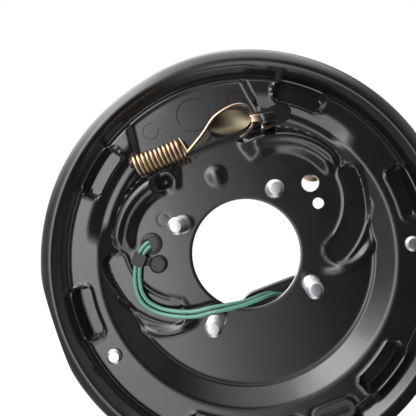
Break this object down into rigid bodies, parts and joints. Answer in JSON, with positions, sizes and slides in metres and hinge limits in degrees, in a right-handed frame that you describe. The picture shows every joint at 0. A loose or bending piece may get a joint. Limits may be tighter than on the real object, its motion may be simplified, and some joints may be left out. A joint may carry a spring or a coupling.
{
  "type": "electric trailer brake assembly",
  "caption": "Electric drum brake on a round black backing plate, with lined shoes, a magnet on a swinging arm, a star wheel adjuster, a hand brake lever and two lead wires.",
  "frame": {"origin": "centre of the hub hole on the mounting face, where the plate meets the axle flange", "axes": "+Z towards the anchor at the top, +Y into the drum, away from the axle flange, +X to the right seen from the axle side"},
  "size_m": [0.266, 0.089, 0.278],
  "materials": {
    "plate": "glossy black paint",
    "zinc": "white zinc",
    "yellow_zinc": "yellow zinc",
    "steel": "plain machined steel",
    "shoe_paint": "dark satin paint",
    "lining": "moulded friction lining",
    "magnet_case": "plated steel case",
    "magnet_face": "dark friction face",
    "spring": "painted spring wire",
    "rubber": "matte",
    "grommet": "matte",
    "clip": "moulded nylon",
    "lead": "teal green insulation"
  },
  "bodies": {
    "root": {"backing_plate": "plate", "mounting_studs": "zinc", "anchor_base_plate": "plate", "anchor_post": "plate", "anchor_rivets": "plate", "return_spring_primary": "spring", "return_spring_secondary": "spring", "adjuster_nut": "zinc", "adjuster_cap": "zinc", "adjuster_spring": "spring", "hold_down_pin_left": "yellow_zinc", "hold_down_spring_left": "spring", "hold_down_cup_left": "yellow_zinc", "hold_down_pin_right": "yellow_zinc", "hold_down_spring_right": "spring", "hold_down_cup_right": "yellow_zinc", "lever_return_spring": "yellow_zinc", "adjuster_plug_left": "rubber", "adjuster_plug_right": "rubber", "wire_grommet": "grommet", "wire_clip": "clip", "magnet_lead_a": "lead", "magnet_lead_b": "lead", "lead_wire_a": "lead", "lead_wire_b": "lead"},
    "arm": {"actuating_arm": "yellow_zinc", "magnet_spring": "spring"},
    "magnet": {"magnet_body": "magnet_case", "magnet_face": "magnet_face", "magnet_clip": "zinc"},
    "primary": {"primary_shoe": "shoe_paint", "primary_lining": "lining"},
    "secondary": {"secondary_shoe": "shoe_paint", "secondary_lining": "lining"},
    "strut_link": {"strut": "steel"},
    "lever": {"handbrake_lever": "yellow_zinc", "lever_pivot_pin": "zinc"},
    "star_wheel": {"star_wheel_screw": "yellow_zinc"}
  },
  "joints": [
    {"name": "arm_swing", "type": "hinge", "parent": "root", "child": "arm", "pos_m": [0, 0.0425, 0.1], "axis": [0, 1, 0], "range_deg": [0, 6], "stiffness_Nm_per_rad": 2, "deforming": ["magnet_lead_a", "magnet_lead_b"]},
    {"name": "magnet_slide", "type": "slide", "parent": "arm", "child": "magnet", "axis": [0, -1, 0], "range_m": [0, 0.003], "stiffness_N_per_m": 1500, "springref_m": -0.002, "deforming": ["magnet_spring"]},
    {"name": "primary_shoe_turn", "type": "hinge", "parent": "root", "child": "primary", "pos_m": [-0.03, 0.0334, -0.1], "axis": [0, 1, 0], "range_deg": [-0.53, 0], "stiffness_Nm_per_rad": 60, "deforming": ["return_spring_primary", "hold_down_spring_left", "adjuster_spring"]},
    {"name": "secondary_shoe_turn", "type": "hinge", "parent": "root", "child": "secondary", "pos_m": [0.03, 0.0334, -0.1], "axis": [0, 1, 0], "range_deg": [0, 1.16], "stiffness_Nm_per_rad": 60, "deforming": ["return_spring_secondary", "hold_down_spring_right"]},
    {"name": "strut_slide", "type": "slide", "parent": "root", "child": "strut_link", "axis": [-1, 0, 0], "range_m": [0, 0.0033]},
    {"name": "handbrake_pull", "type": "hinge", "parent": "strut_link", "child": "lever", "pos_m": [0.066, 0.0265, 0.038], "axis": [0, 1, 0], "range_deg": [0, 16.8], "stiffness_Nm_per_rad": 3, "springref_deg": -5.73, "deforming": ["lever_return_spring"]},
    {"name": "star_wheel_spin", "type": "hinge", "parent": "root", "child": "star_wheel", "pos_m": [0, 0.0334, -0.1], "axis": [1, 0, 0], "continuous": true}
  ],
  "couplings": [
    {"joint": "primary_shoe_turn", "follows": "arm_swing", "ratio": -0.087},
    {"joint": "strut_slide", "follows": "handbrake_pull", "m_per_rad": 0.0109},
    {"joint": "secondary_shoe_turn", "follows": "handbrake_pull", "ratio": 0.0685}
  ]
}
